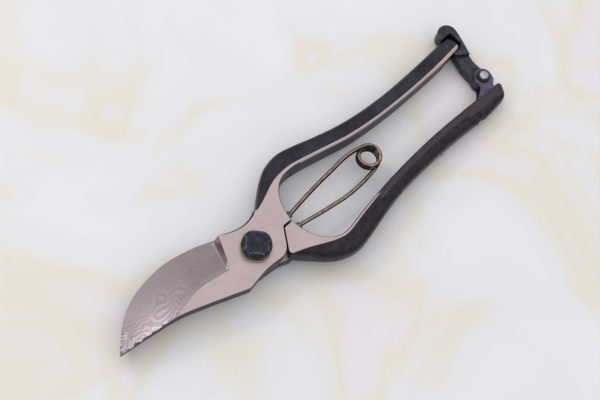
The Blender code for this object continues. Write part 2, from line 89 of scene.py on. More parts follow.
# %% Sizes shared by several pieces
MM = 0.001
JOINTS = {joint["name"]: joint for joint in frame["joints"]}
LATCH_AXIS = Vector(JOINTS["latch_swing"]["pos_m"])
COIL_AXIS = Vector(JOINTS["spring_coil"]["pos_m"])
print("latch axis", LATCH_AXIS, "coil axis", COIL_AXIS)

# %% [markdown]
# ## Helpers
#
# Colours are written as sRGB hex values, as a colour picker shows them, but a shader works in
# linear light. One function turns them. Another adds a shader node with its settings and its
# links in a single call, which keeps the materials short enough to read.

# %% Colour and node helpers


def linear(colour):
    """An sRGB hex colour as linear RGBA."""
    parts = [int(colour[i : i + 2], 16) / 255 for i in (1, 3, 5)]
    return tuple(c / 12.92 if c < 0.04045 else ((c + 0.055) / 1.055) ** 2.4 for c in parts) + (1.0,)


def add_node(tree, kind, inputs=None, stops=None, **settings):
    """Add a node. inputs holds a value or a socket to link for each socket; stops fill a ramp."""
    node = tree.nodes.new(kind)
    for key, value in settings.items():
        setattr(node, key, value)
    for key, value in (inputs or {}).items():
        if isinstance(value, bpy.types.NodeSocket):
            tree.links.new(value, node.inputs[key])
        else:
            node.inputs[key].default_value = value
    if stops:
        ramp = node.color_ramp
        while len(ramp.elements) < len(stops):
            ramp.elements.new(0.5)
        for element, (place, colour) in zip(ramp.elements, stops):
            element.position = place
            element.color = colour
    return node


def grey(value):
    """A ramp stop that only carries a number."""
    return (value, value, value, 1.0)


def new_material(name, metallic, roughness):
    """A Principled material; the caller links its colour, roughness and bump."""
    material = bpy.data.materials.new(name)
    material.use_nodes = True
    tree = material.node_tree
    shader = tree.nodes["Principled BSDF"]
    shader.inputs["Metallic"].default_value = metallic
    shader.inputs["Roughness"].default_value = roughness
    place = add_node(tree, "ShaderNodeTexCoord").outputs["Object"]
    return material, tree, shader, place


def drive(tree, shader, **sockets):
    """Link finished patterns to the shader's sockets."""
    for name, socket in sockets.items():
        tree.links.new(socket, shader.inputs[name.replace("_", " ")])


# %% [markdown]
# Modelling operators act on whatever is selected, so each step starts by clearing the selection.
# `select_faces` and `select_edges` then pick parts of the mesh by their place or direction, as a
# hand would with the mouse. `finish_piece` ends every rigid piece in the same way: its place is
# applied to its mesh, its soft edges are smoothed, and large flat faces are kept flat by
# weighting the normals with the size of each face.

# %% Selection helpers


def only(piece):
    """Make this piece the one selected and active object."""
    for other in bpy.context.scene.objects:
        other.select_set(False)
    piece.select_set(True)
    bpy.context.view_layer.objects.active = piece


def select_faces(piece, wanted):
    """In edit mode, select only the faces that pass the test."""
    bpy.ops.mesh.select_mode(type="FACE")
    bpy.ops.mesh.select_all(action="DESELECT")
    edit = bmesh.from_edit_mesh(piece.data)
    for face in edit.faces:
        face.select_set(bool(wanted(face)))
    bmesh.update_edit_mesh(piece.data)


def select_edges(piece, wanted):
    """In edit mode, select only the edges that pass the test on their two ends."""
    bpy.ops.mesh.select_mode(type="EDGE")
    bpy.ops.mesh.select_all(action="DESELECT")
    edit = bmesh.from_edit_mesh(piece.data)
    for edge in edit.edges:
        edge.select_set(bool(wanted(edge)))
    bmesh.update_edit_mesh(piece.data)


def finish_piece(piece, body, replaced, smooth_deg=30):
    """Apply the place, smooth the piece, hide the nodes it replaces, and let it ride on its body."""
    only(piece)
    bpy.ops.object.transform_apply(location=True, rotation=True, scale=True)
    bpy.ops.object.shade_smooth_by_angle(angle=math.radians(smooth_deg))
    flatten = piece.modifiers.new("keep_big_faces_flat", "WEIGHTED_NORMAL")
    flatten.keep_sharp = True
    bpy.ops.object.modifier_apply(modifier=flatten.name)
    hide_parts(*replaced)
    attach(piece, body)
    print(piece.name, "has", len(piece.data.polygons), "faces")


# %% [markdown]
# ## Finishes
#
# A pattern's scale is how many times it repeats in a metre, so each one is worked out from the
# size of a real feature.

# %% Pattern scales


def per_mm(*sizes_mm):
    """Scales for features of these sizes; one size gives one number, three give a vector."""
    scales = tuple(1 / (size * MM) for size in sizes_mm)
    return scales[0] if len(scales) == 1 else scales


print("a 2 mm feature has scale", per_mm(2.0))

# %% [markdown]
# **Satin ground steel.** The flats round the pivot are ground on a belt after forging. The grit
# leaves fine lines that run one way, and they spread a reflection sideways, so the steel looks
# soft and even. Under warm light it has a faint rose tone. The lines are about 0.15 mm apart,
# which is too fine for a picture of the whole tool, so they are drawn 0.4 mm apart.

# %% Satin ground steel
GRAIN_TURN = math.radians(24.06)
satin_steel, tree, shader, place = new_material("satin_ground_steel", 1.0, 0.36)
grain = add_node(tree, "ShaderNodeMapping", {
    "Vector": place, "Scale": per_mm(3.85, 0.385, 1.67), "Rotation": (0, 0, GRAIN_TURN),
})
lines = add_node(tree, "ShaderNodeTexNoise", {"Vector": grain.outputs[0], "Scale": 1.0, "Detail": 3.0})
cloud = add_node(tree, "ShaderNodeTexNoise", {"Vector": place, "Scale": per_mm(10.5), "Detail": 2.0})
tone = add_node(
    tree, "ShaderNodeMix", {0: cloud.outputs[0], 6: linear("#bfabae"), 7: linear("#d1bdc0")},
    data_type="RGBA",
)
brushed = add_node(tree, "ShaderNodeValToRGB", {0: lines.outputs[0]}, [(0.3, grey(0.8)), (0.7, grey(1.0))])
colour = add_node(
    tree, "ShaderNodeMix", {0: 0.8, 6: tone.outputs[2], 7: brushed.outputs[0]},
    data_type="RGBA", blend_type="MULTIPLY",
)
rough = add_node(tree, "ShaderNodeMapRange", {0: lines.outputs[0], 3: 0.28, 4: 0.44})
bump = add_node(tree, "ShaderNodeBump", {
    "Strength": 0.2, "Distance": 0.04 * MM, "Height": lines.outputs[0],
})
drive(tree, shader, Base_Color=colour.outputs[2], Roughness=rough.outputs[0], Normal=bump.outputs[0])
print(satin_steel.name, "ready")

# %% [markdown]
# **Layered blade steel.** The bevel is polished, and the smith's folded layers show in it as
# contour lines, like the height lines on a map. They fade out towards the cutting edge and the
# heel, where a plain band of hard steel comes through. The lines run along the blade, so the
# height is the distance across the blade, and a noise field pushes the lines into bends and
# islands. The sine of that height gives one line for each layer. Real layers are closer together,
# but these are drawn 2.4 mm apart so that they show.

# %% Layered blade steel
LAYER_GAP = 2.417
LAYER_BEND = 62.0
layered_steel, tree, shader, place = new_material("layered_polished_steel", 1.0, 0.22)
split = add_node(tree, "ShaderNodeSeparateXYZ", {0: place})
across = add_node(
    tree, "ShaderNodeMath", {0: split.outputs[1], 1: 2 * math.pi * per_mm(LAYER_GAP)},
    operation="MULTIPLY",
)
field = add_node(tree, "ShaderNodeTexNoise", {
    "Vector": place, "Scale": per_mm(9.524), "Detail": 1.6, "Distortion": 0.5,
})
height = add_node(
    tree, "ShaderNodeMath", {0: field.outputs[0], 1: LAYER_BEND, 2: across.outputs[0]},
    operation="MULTIPLY_ADD",
)
wave = add_node(tree, "ShaderNodeMath", {0: height.outputs[0]}, operation="SINE")
slices = add_node(tree, "ShaderNodeValToRGB", {0: wave.outputs[0]}, [(0.0, grey(0.0)), (0.55, grey(1.0))])
cloud = add_node(tree, "ShaderNodeTexNoise", {"Vector": place, "Scale": per_mm(7.69), "Detail": 3.0})
print("layer lines are", LAYER_GAP, "mm apart")

# %% [markdown]
# The lines are shown from 13.5 mm across the blade down to 8.5 mm, where they are full, and from
# 17 mm in front of the pivot on to 27 mm.

# %% Where the layers show
core = add_node(tree, "ShaderNodeMapRange", {
    0: split.outputs[1], 1: 13.5 * MM, 2: 8.5 * MM, 3: 0.0, 4: 1.0,
})
front = add_node(tree, "ShaderNodeMapRange", {
    0: split.outputs[0], 1: -17 * MM, 2: -27 * MM, 3: 0.0, 4: 1.0,
})
faded = add_node(
    tree, "ShaderNodeMath", {0: core.outputs[0], 1: cloud.outputs[0]}, operation="MULTIPLY",
)
shown = add_node(
    tree, "ShaderNodeMath", {0: faded.outputs[0], 1: front.outputs[0]}, operation="MULTIPLY",
)
plain = add_node(
    tree, "ShaderNodeMix", {0: cloud.outputs[0], 6: linear("#9c9094"), 7: linear("#8e8387")},
    data_type="RGBA",
)
layers = add_node(
    tree, "ShaderNodeMix", {0: slices.outputs[0], 6: linear("#877c80"), 7: linear("#a1969c")},
    data_type="RGBA",
)
colour = add_node(
    tree, "ShaderNodeMix", {0: shown.outputs[0], 6: plain.outputs[2], 7: layers.outputs[2]},
    data_type="RGBA",
)
rough = add_node(tree, "ShaderNodeMapRange", {0: slices.outputs[0], 3: 0.31, 4: 0.27})
drive(tree, shader, Base_Color=colour.outputs[2], Roughness=rough.outputs[0])
print(layered_steel.name, "ready")

# %% [markdown]
# **Forge scale.** The upper handle keeps the oxide skin from the forge fire. It is a hard, dark
# blue-black layer with a dull sheen, and a fine mottle where the scale is thicker or thinner.

# %% Forge scale
forge_scale, tree, shader, place = new_material("forge_scale_black", 0.75, 0.4)
mottle = add_node(tree, "ShaderNodeTexNoise", {
    "Vector": place, "Scale": per_mm(2.38), "Detail": 5.0, "Roughness": 0.6,
})
patches = add_node(tree, "ShaderNodeTexNoise", {"Vector": place, "Scale": per_mm(14.3), "Detail": 2.0})
both = add_node(
    tree, "ShaderNodeMath", {0: mottle.outputs[0], 1: patches.outputs[0]}, operation="MULTIPLY",
)
scale_tones = [(0.12, linear("#26262e")), (0.42, linear("#3f3f48"))]
colour = add_node(tree, "ShaderNodeValToRGB", {0: both.outputs[0]}, scale_tones)
rough = add_node(tree, "ShaderNodeMapRange", {0: mottle.outputs[0], 3: 0.34, 4: 0.52})
bump = add_node(tree, "ShaderNodeBump", {
    "Strength": 0.25, "Distance": 0.06 * MM, "Height": mottle.outputs[0],
})
drive(tree, shader, Base_Color=colour.outputs[0], Roughness=rough.outputs[0], Normal=bump.outputs[0])
print(forge_scale.name, "ready")

# %% [markdown]
# ** Browned steel.** The inner half of the lower handle was brushed along its length after the
# forging, and then oiled. The brush left streaks a quarter of a millimetre wide. The lighter
# brown-violet tone of the band is a painted sheen for the light on the handle's top.

# %% Browned steel with a painted sheen
STREAK_TURN = math.radians(11.46)
browned_painted_sheen, tree, shader, place = new_material("browned_painted_sheen_brushed_steel", 0.85, 0.38)
streak = add_node(tree, "ShaderNodeMapping", {
    "Vector": place, "Scale": per_mm(2.38, 0.238, 1.43), "Rotation": (0, 0, STREAK_TURN),
})
streaks = add_node(tree, "ShaderNodeTexNoise", {"Vector": streak.outputs[0], "Scale": 1.0, "Detail": 3.0})
speck = add_node(tree, "ShaderNodeTexNoise", {"Vector": place, "Scale": per_mm(0.667), "Detail": 2.0})
both = add_node(tree, "ShaderNodeMix", {0: 0.35, 2: streaks.outputs[0], 3: speck.outputs[0]})
# These lighter brown tones are a painted sheen over the oiled, brushed steel.
brown_sheen_tones = [(0.35, linear("#373239")), (0.65, linear("#544b51"))]
colour = add_node(tree, "ShaderNodeValToRGB", {0: both.outputs[0]}, brown_sheen_tones)
rough = add_node(tree, "ShaderNodeMapRange", {0: both.outputs[0], 3: 0.30, 4: 0.46})
bump = add_node(tree, "ShaderNodeBump", {
    "Strength": 0.2, "Distance": 0.04 * MM, "Height": both.outputs[0],
})
drive(tree, shader, Base_Color=colour.outputs[0], Roughness=rough.outputs[0], Normal=bump.outputs[0])
print(browned_painted_sheen.name, "ready")

# %% [markdown]
# **Small dark and bright metals.** The remaining finishes differ in a few numbers only: a base
# tone and a darker one that a fine noise mixes, how rough the surface is, and the size and depth
# of its grain.

# %% Small metal finish


def small_metal(name, tones, metallic, roughs, grain_mm, depth_mm):
    """A metal whose tone (light, dark) and roughness (low, high) wander over a fine noise."""
    material, tree, shader, place = new_material(name, metallic, roughs[0])
    noise = add_node(tree, "ShaderNodeTexNoise", {
        "Vector": place, "Scale": per_mm(grain_mm), "Detail": 4.0,
    })
    stops = [(0.3, linear(tones[1])), (0.7, linear(tones[0]))]
    colour = add_node(tree, "ShaderNodeValToRGB", {0: noise.outputs[0]}, stops)
    rough = add_node(tree, "ShaderNodeMapRange", {
        0: noise.outputs[0], 1: 0.3, 2: 0.7, 3: roughs[1], 4: roughs[0],
    })
    bump = add_node(tree, "ShaderNodeBump", {
        "Strength": 0.3, "Distance": depth_mm * MM, "Height": noise.outputs[0],
    })
    drive(tree, shader, Base_Color=colour.outputs[0], Roughness=rough.outputs[0], Normal=bump.outputs[0])
    print(name, "ready")
    return material


# %% [markdown]
# The dark ones are all steel under a thin coat, so the coat's tone is the colour that the eye
# sees. The lower handle is blackened in hot oil. The bolt and the rivet's washer have a salt-bath
# black oxide, and the bolt's ridges get a lighter steel as a painted highlight. The catch was
# tempered to a dark violet, and its bracket to a lighter one. The wire is oil-hardened to a
# brown-black, with a lighter copper tone painted on its top as a highlight. The crotch between
# the handles is rough ground and dull.

# %% Dark metals
oil_black = small_metal("oil_blackened_steel", ("#37343b", "#252328"), 0.8, (0.3, 0.46), 2.38, 0.05)
black_oxide = small_metal("black_oxide_steel", ("#3a3b46", "#23232b"), 0.8, (0.24, 0.42), 2.0, 0.05)
# Lighter steel for the bolt's ridges, a painted highlight.
ridge_painted_highlight = small_metal("ridge_painted_highlight_steel", ("#80828f", "#4c4e5a"), 1.0, (0.3, 0.45), 2.0, 0.02)
dark_latch = small_metal("tempered_dark_steel", ("#4b4854", "#33313b"), 0.8, (0.36, 0.5), 2.22, 0.05)
violet_bracket = small_metal("violet_tempered_steel", ("#68637c", "#4a465c"), 0.9, (0.32, 0.46), 2.86, 0.04)
spring_wire = small_metal("oil_hardened_wire", ("#3a322d", "#221d1a"), 0.9, (0.22, 0.36), 1.43, 0.02)
# A lighter copper tone for the top of the wire, painted as a highlight.
painted_highlight_wire = small_metal("painted_highlight_wire_top", ("#a8948a", "#75655c"), 1.0, (0.2, 0.32), 1.43, 0.02)
scale_grey = small_metal("rough_ground_inner_steel", ("#505152", "#313234"), 0.9, (0.4, 0.55), 3.33, 0.06)

# %% [markdown]
# The bright ones are bare metal from the lathe: the rivet and the pins, the greyer spring cups,
# and the brass washer, whose pale yellow is the only warm colour on the tool.

# %% Bright metals
bright_turned = small_metal("bright_turned_steel", ("#c9c6cf", "#a3a0ab"), 1.0, (0.3, 0.42), 1.67, 0.02)
dull_cup = small_metal("oiled_cup_steel", ("#8a8996", "#5b5a66"), 1.0, (0.28, 0.42), 2.0, 0.03)
turned_brass = small_metal("turned_brass", ("#d9cda2", "#b0a378"), 1.0, (0.26, 0.42), 2.5, 0.03)

# %% [markdown]
# ## The two forged halves
#
# Each half is one forging with several finishes: bright flats, the polished bevel, and a dark
# handle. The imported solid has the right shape, so a copy of it is cleaned up, and each of its
# faces then gets a finish by its place and direction. A face that looks straight up, or leans
# towards the other handle, was on the grinding belt. A face that leans towards the palm kept its
# skin.

# %% Copy a node and sort its faces


def copy_of(node, name):
    """A clean, editable copy of a frame node's mesh."""
    piece = bpy.data.objects.new(name, frame["nodes"][node].data.copy())
    bpy.context.scene.collection.objects.link(piece)
    piece.data.materials.clear()
    only(piece)
    bpy.ops.object.mode_set(mode="EDIT")
    bpy.ops.mesh.select_all(action="SELECT")
    bpy.ops.mesh.remove_doubles(threshold=0.000002)
    bpy.ops.mesh.dissolve_limited(angle_limit=math.radians(0.2))
    bpy.ops.object.mode_set(mode="OBJECT")
    return piece


def paint(piece, finishes):
    """Give each face the first finish whose test it passes; the last one takes the rest."""
    for material, _ in finishes:
        piece.data.materials.append(material)
    only(piece)
    bpy.ops.object.mode_set(mode="EDIT")
    for index in reversed(range(len(finishes))):
        select_faces(piece, finishes[index][1])
        piece.active_material_index = index
        bpy.ops.object.material_slot_assign()
    bpy.ops.object.mode_set(mode="OBJECT")


# %% [markdown]
# The belt also touched a narrow line along the upper handle's inner edge, and the brush reached a
# few millimetres across the lower handle. Each strip has a width, measured from the inner wall,
# so points are set close together along the wall's edges, and a face is in the strip when all
# its corners are near one of them.

# %% Distance from the inner wall


def middle_of(face):
    """Centre of a face in millimetres."""
    return face.calc_center_median() / MM


def inner_wall_points(piece, side):
    """Close-set points along the edges of the walls that face the other handle."""
    walls = [f for f in piece.data.polygons if f.normal.y * side > 0.5 and abs(f.normal.z) < 0.4]
    spots = []
    for first, second in sorted({key for f in walls for key in f.edge_keys}):
        start, end = (piece.data.vertices[index].co / MM for index in (first, second))
        steps = max(1, math.ceil((end - start).length / 0.3))
        spots += [start.lerp(end, k / steps) for k in range(steps + 1)]
    points = KDTree(len(spots))
    for index, spot in enumerate(spots):
        points.insert(spot, index)
    points.balance()
    return points


def all_near(face, points, reach_mm):
    """Every corner of the face lies within reach of the nearest wall point."""
    return all(points.find(corner.co / MM)[2] < reach_mm for corner in face.verts)


# %% [markdown]
# On the blade half, the bevel is whatever leans from the level, or lies under it, in front of the
# pivot. The flat is level at the top, and so is the blade's back, which slides on the hook. The
# side of the crotch, between the handles, keeps a rough ground finish.

# %% Tests for the blade half
BEVEL_FRONT = -6.0
FLAT_LEVEL = 12.9
BACK_END = 12.0
FLAT_END_BLADE = 52.0
EDGE_LINE_START = 40.0
EDGE_LINE_WIDTH = 1.7


def on_bevel(face):
    centre = middle_of(face)
    leans = 0.12 < face.normal.z < 0.9993
    return centre.x < BEVEL_FRONT and (leans or (face.normal.z > 0.12 and centre.z < FLAT_LEVEL))


def on_blade_flat(face):
    centre = middle_of(face)
    faces_up = face.normal.z > 0.85 and face.normal.y < 0.02 and centre.z > 8
    on_back = face.normal.z < -0.9 and centre.x < BACK_END
    return (faces_up and centre.x < FLAT_END_BLADE) or on_back or on_edge_line(face)


def on_edge_line(face):
    on_top = middle_of(face).x > EDGE_LINE_START and face.normal.z > 0.7
    return on_top and all_near(face, blade_wall, EDGE_LINE_WIDTH)


def on_crotch_side(face):
    centre = middle_of(face)
    return abs(face.normal.z) < 0.3 and 12 < centre.x < 38 and abs(centre.y) < 17


print("the edge line is", EDGE_LINE_WIDTH, "mm wide at most")

# %% Blade half
blade = copy_of("blade_half", "forged_blade_half")
blade_wall = inner_wall_points(blade, -1)
paint(blade, [
    (layered_steel, on_bevel),
    (satin_steel, on_blade_flat),
    (scale_grey, on_crotch_side),
    (forge_scale, lambda face: True),
])
finish_piece(blade, "blade_half", ["blade_half"], 32)

# %% [markdown]
# On the hook half, the ground flat narrows to nothing where the handle starts to run straight,
# about 54 mm behind the pivot. The brushed band, whose lighter tone is a painted sheen on the
# handle's top, starts in the crotch and widens to 3.4 mm.

# %% Tests for the hook half
FLAT_END_HOOK = 54.0
BAND_START = 26.0
BAND_WIDENING = 0.11
BAND_WIDTH = 3.4


def on_hook_flat(face):
    centre = middle_of(face)
    behind_pivot = face.normal.z > 0.85 and face.normal.y > -0.02 and 0 < centre.x < FLAT_END_HOOK
    return behind_pivot or (face.normal.z > 0.9 and centre.x < 0)


def on_brushed_sheen_band(face):
    """The upward faces of the handle's top near the inner wall: brushed, with a painted sheen."""
    reach = min(BAND_WIDTH, (middle_of(face).x - BAND_START) * BAND_WIDENING)
    return face.normal.z > 0.5 and all_near(face, hook_wall, reach)


print("the brushed band is", BAND_WIDTH, "mm wide at most")

# %% Hook half
hook = copy_of("hook_half", "forged_hook_half")
hook_wall = inner_wall_points(hook, 1)
paint(hook, [
    (satin_steel, on_hook_flat),
    (scale_grey, on_crotch_side),
    # The band's upward faces take the brushing and the painted sheen.
    (browned_painted_sheen, on_brushed_sheen_band),
    (oil_black, lambda face: True),
])
finish_piece(hook, "hook_half", ["hook_half"], 32)

# %% [markdown]
# ## Small pieces with soft edges
#
# The catch lever and its bracket were sawn from plate, and their edges were broken with a file.
# A bevel that follows only the sharp edges gives each one the thin bright line that an eye reads
# as a real, finished edge.

# %% Catch lever and bracket


def break_edges(piece, width_mm, segments=2):
    """File the sharp edges of a plate piece, and apply the result."""
    only(piece)
    step = piece.modifiers.new("filed_edges", "BEVEL")
    step.width = width_mm * MM
    step.segments = segments
    step.limit_method = "ANGLE"
    step.angle_limit = math.radians(40)
    step.use_clamp_overlap = True
    bpy.ops.object.modifier_apply(modifier=step.name)


lever = copy_of("latch_arm", "catch_lever")
break_edges(lever, 0.28)
paint(lever, [(dark_latch, lambda face: True)])
finish_piece(lever, "latch", ["latch_arm"], 35)

bracket = copy_of("latch_bracket", "catch_bracket")
break_edges(bracket, 0.16)
paint(bracket, [(violet_bracket, lambda face: True)])
finish_piece(bracket, "hook_half", ["latch_bracket"], 35)

# %% [markdown]
# ## Turned pieces
#
# Bolts, rivets, pins and spring cups are turned on a lathe, and the spin operator is Blender's
# lathe: a line of points is drawn as the tool would follow it, from the middle of one end to the
# middle of the other, and is then spun round the axis.

# %% A lathe made of operators


def turn_on_lathe(name, outline, centre, axis, across, steps=48):
    """Spin an outline of (distance along the axis, radius), in millimetres, round the axis."""
    centre, axis, across = Vector(centre), Vector(axis), Vector(across)
    points = [centre + (axis * along + across * radius) * MM for along, radius in outline]
    for other in bpy.context.scene.objects:
        other.select_set(False)
    bpy.ops.mesh.primitive_plane_add(size=0.001, location=(0, 0, 0))
    piece = bpy.context.object
    piece.name = name
    bpy.ops.object.mode_set(mode="EDIT")
    bpy.ops.mesh.select_mode(type="VERT")
    bpy.ops.mesh.select_all(action="SELECT")
    bpy.ops.mesh.merge(type="CENTER")
    bpy.ops.transform.translate(value=points[0])
    for before, after in zip(points, points[1:]):
        bpy.ops.mesh.extrude_region_move(TRANSFORM_OT_translate={"value": after - before})
    bpy.ops.mesh.select_all(action="SELECT")
    bpy.ops.mesh.spin(steps=steps, angle=2 * math.pi, center=centre, axis=axis)
    bpy.ops.mesh.select_all(action="SELECT")
    bpy.ops.mesh.remove_doubles(threshold=0.000001)
    bpy.ops.mesh.normals_make_consistent(inside=False)
    bpy.ops.object.mode_set(mode="OBJECT")
    return piece


def dome(base, height, radius, count):
    """Outline of a round head, from its middle out to its rim."""
    angles = [math.pi / 2 * (1 - k / (count - 1)) for k in range(count)]
    return [(base + height * math.sin(a), radius * math.cos(a)) for a in angles]


UP = (0, 0, 1)
RIGHT = (1, 0, 0)
PALM = (0, -1, 0)

# %% [markdown]
# The catch turns on a rivet with a bright round head, set on a thin black washer.

# %% Rivet and its washer
RIVET_HEAD_RADIUS = 2.15
RIVET_RADIUS = 1.5
rivet_low, rivet_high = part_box("latch_rivet")
washer_low, washer_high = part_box("rivet_washer")
head_base = washer_high.z / MM + 0.2
head_height = rivet_high.z / MM - head_base
foot = rivet_low.z / MM
rivet_axis = (LATCH_AXIS.x, LATCH_AXIS.y, 0.0)
outline = dome(head_base, head_height, RIVET_HEAD_RADIUS, 10)
outline += [(head_base, RIVET_RADIUS), (foot, RIVET_RADIUS), (foot, 0.0)]
rivet = turn_on_lathe("catch_rivet", outline, rivet_axis, UP, RIGHT, 64)
rivet.data.materials.append(bright_turned)
finish_piece(rivet, "hook_half", ["latch_rivet"], 40)

RING_BORE = 1.8
RING_RADIUS = 2.9
low, high = washer_low.z / MM, washer_high.z / MM
outline = [(low, RING_BORE), (low, RING_RADIUS - 0.1), (low + 0.1, RING_RADIUS)]
outline += [(high - 0.12, RING_RADIUS), (high, RING_RADIUS - 0.12), (high, RING_BORE), (low, RING_BORE)]
rivet_ring = turn_on_lathe("catch_rivet_washer", outline, rivet_axis, UP, RIGHT, 64)
rivet_ring.data.materials.append(black_oxide)
finish_piece(rivet_ring, "hook_half", ["rivet_washer"], 40)

# %% [markdown]
# Two pins hold the bracket's tang in the handle. Their ends stand a little proud on the palm
# side, where they were hammered over and then wiped bright by the hand.

# %% Bracket pins
for node in ("bracket_pin_front", "bracket_pin_rear"):
    low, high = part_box(node)
    middle = ((low.x + high.x) / 2, 0.0, (low.z + high.z) / 2)
    inner, outer = -high.y / MM, -low.y / MM
    outline = [(inner, 0.0), (inner, 1.2), (inner + 0.1, 1.3), (outer - 0.5, 1.3), (outer - 0.5, 1.7)]
    outline += [(outer - 0.32, 1.66), (outer - 0.12, 1.3), (outer - 0.02, 0.7), (outer, 0.0)]
    pin = turn_on_lathe(node.replace("bracket", "tang"), outline, middle, PALM, RIGHT, 40)
    pin.data.materials.append(bright_turned)
    finish_piece(pin, "hook_half", [node], 40)

# %% [markdown]
# Each foot of the spring stands in a small steel cup. The cup's peg is pressed into the handle,
# and its rim is rounded where the wire rocks in it.

# %% Spring cups
for node, body in (("spring_seat_blade", "blade_half"), ("spring_seat_hook", "hook_half")):
    low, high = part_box(node)
    middle = (0.0, (low.y + high.y) / 2, (low.z + high.z) / 2)
    inner, outer = low.x / MM, high.x / MM
    outline = [(inner, 0.0), (inner, 0.9), (inner + 0.2, 1.1), (outer - 2.0, 1.1), (outer - 1.9, 1.42)]
    outline += [(outer - 1.75, 1.5), (outer - 0.1, 1.5), (outer, 1.42), (outer, 1.26), (outer - 0.1, 1.2)]
    outline += [(outer - 0.7, 1.15), (outer - 1.3, 0.8), (outer - 1.3, 0.0)]
    cup = turn_on_lathe(node.replace("seat", "cup"), outline, middle, RIGHT, UP, 40)
    cup.data.materials.append(dull_cup)
    finish_piece(cup, body, [node], 40)

# %% [markdown]
# ## Pivot bolt
#
# The bolt's head is turned round with a soft shoulder, and then filed flat in four places so
# that a spanner can hold it. Bisect cuts the four faces, because one plane is all that a file
# leaves, and a narrow bevel on their ridges takes a lighter steel, a painted highlight along the
# edges.

# %% Pivot bolt
SHANK_RADIUS = 3.6
THREAD_RADIUS = 2.5
THREAD_TOP = 3.4
bolt_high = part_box("pivot_bolt")[1]
TOP = bolt_high.z / MM
HEAD_RADIUS = bolt_high.x / MM
HEAD_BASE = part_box("head_washer")[1].z / MM + 0.2
outline = [(TOP, 0.0), (TOP, 4.3), (TOP - 0.08, 4.75), (TOP - 0.35, 5.3), (TOP - 0.8, 5.85)]
outline += [(TOP - 1.3, 6.2), (TOP - 1.7, HEAD_RADIUS)]
outline += [(HEAD_BASE + 0.15, HEAD_RADIUS), (HEAD_BASE, HEAD_RADIUS - 0.15)]
outline += [(HEAD_BASE, SHANK_RADIUS), (THREAD_TOP, SHANK_RADIUS), (THREAD_TOP, THREAD_RADIUS)]
outline += [(0.25, THREAD_RADIUS), (0.0, THREAD_RADIUS - 0.25), (0.0, 0.0)]
bolt = turn_on_lathe("pivot_bolt_faceted", outline, (0, 0, 0), UP, RIGHT, 96)
bolt.data.materials.append(black_oxide)
# The second slot holds the painted highlight for the ridges.
bolt.data.materials.append(ridge_painted_highlight)
print("bolt turned, with a head", 2 * HEAD_RADIUS, "mm wide")

# %% File the four faces
FILED_TILT = math.radians(36)
FILED_FROM_MIDDLE = 4.45
only(bolt)
bpy.ops.object.mode_set(mode="EDIT")
for quarter in range(4):
    heading = math.radians(45 + 90 * quarter)
    out = Vector((math.cos(heading), math.sin(heading), 0.0))
    normal = out * math.cos(FILED_TILT) + Vector(UP) * math.sin(FILED_TILT)
    through = (out * FILED_FROM_MIDDLE + Vector(UP) * TOP) * MM
    bpy.ops.mesh.select_all(action="SELECT")
    bpy.ops.mesh.bisect(plane_co=through, plane_no=normal, use_fill=True, clear_outer=True)


def on_filed_ridge(edge):
    """A ridge on the head beside a face of more than 4 square millimetres."""
    if len(edge.link_faces) != 2 or edge.verts[0].co.z < (HEAD_BASE + 0.05) * MM:
        return False
    largest = max(face.calc_area() for face in edge.link_faces)
    return largest > 4 * MM * MM and edge.calc_face_angle() > math.radians(9)


# The bevel on the ridges chosen here goes into the painted highlight slot.
select_edges(bolt, on_filed_ridge)
bpy.ops.mesh.bevel(offset=0.16 * MM, segments=2, clamp_overlap=True, material=1)
bpy.ops.object.mode_set(mode="OBJECT")
finish_piece(bolt, "hook_half", ["pivot_bolt"], 25)

# %% [markdown]
# A brass washer spreads the head's load over the blade. Its rim shows round the head as a thin
# yellow ring. The steel one under the nut is made the same way.

# %% Washers on the pivot
for node, inner, finish, slot_name in (
    ("head_washer", 3.95, turned_brass, "brass"),
    ("back_washer", 2.85, bright_turned, "bright_steel"),
):
    low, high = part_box(node)
    bottom, top, rim = low.z / MM, high.z / MM, high.x / MM
    outline = [(bottom, inner), (bottom, rim - 0.08), (bottom + 0.08, rim), (top - 0.1, rim)]
    outline += [(top, rim - 0.1), (top, inner), (bottom, inner)]
    ring = turn_on_lathe(node + "_turned", outline, (0, 0, 0), UP, RIGHT, 72)
    ring.data.materials.append(finish)
    finish_piece(ring, "hook_half", [node], 40)

nut = copy_of("pivot_nut", "round_pivot_nut")
break_edges(nut, 0.1)
paint(nut, [(black_oxide, lambda face: True)])
finish_piece(nut, "hook_half", ["pivot_nut"], 35)

# %% [markdown]
# ## Spring
#
# The spring is one piece of round wire: a foot in the lower handle's cup, a bowed leg, two and a
# half close turns, and a second leg back to the upper cup. A path with a round section is the
# natural way to model wire. When the handles open, the wire winds about the coil's own axis.

# %% Route of the spring wire
# The sizes of the wire are the imported spring's own.
WIRE_RADIUS = 0.88
COIL_RADIUS = 4.5
COIL_PITCH = 2.0
COIL_TURNS = 2.5
LEG_SLOPE = 10.0
LEG_BOW = ((36.0, 1.9, 0.6), (48.0, 2.9, 1.4))
STRAIGHT_END = 8.0
POINTS_PER_TURN = 16
hook_foot = Vector(JOINTS["spring_foot"]["pos_m"]) / MM
blade_cup_low, blade_cup_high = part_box("spring_seat_blade")
blade_foot = Vector((hook_foot.x, (blade_cup_low.y + blade_cup_high.y) / 2 / MM, hook_foot.z))
coil = COIL_AXIS / MM


def leg_points(foot, side):
    """From a foot along the bowed leg to where it meets the coil; side is +1 above, -1 below."""
    end_z = coil.z + side * COIL_PITCH * COIL_TURNS / 2
    first = math.radians(90 - LEG_SLOPE)
    meet = Vector((math.cos(first), side * math.sin(first), 0)) * COIL_RADIUS
    meet += Vector((coil.x, coil.y, end_z))
    before = meet - Vector((math.sin(first), -side * math.cos(first), 0)) * STRAIGHT_END
    before.z = end_z - side * 0.3
    bow = [Vector((x, foot.y + side * out, foot.z + side * up)) for x, out, up in LEG_BOW]
    return [foot] + bow + [before, meet]


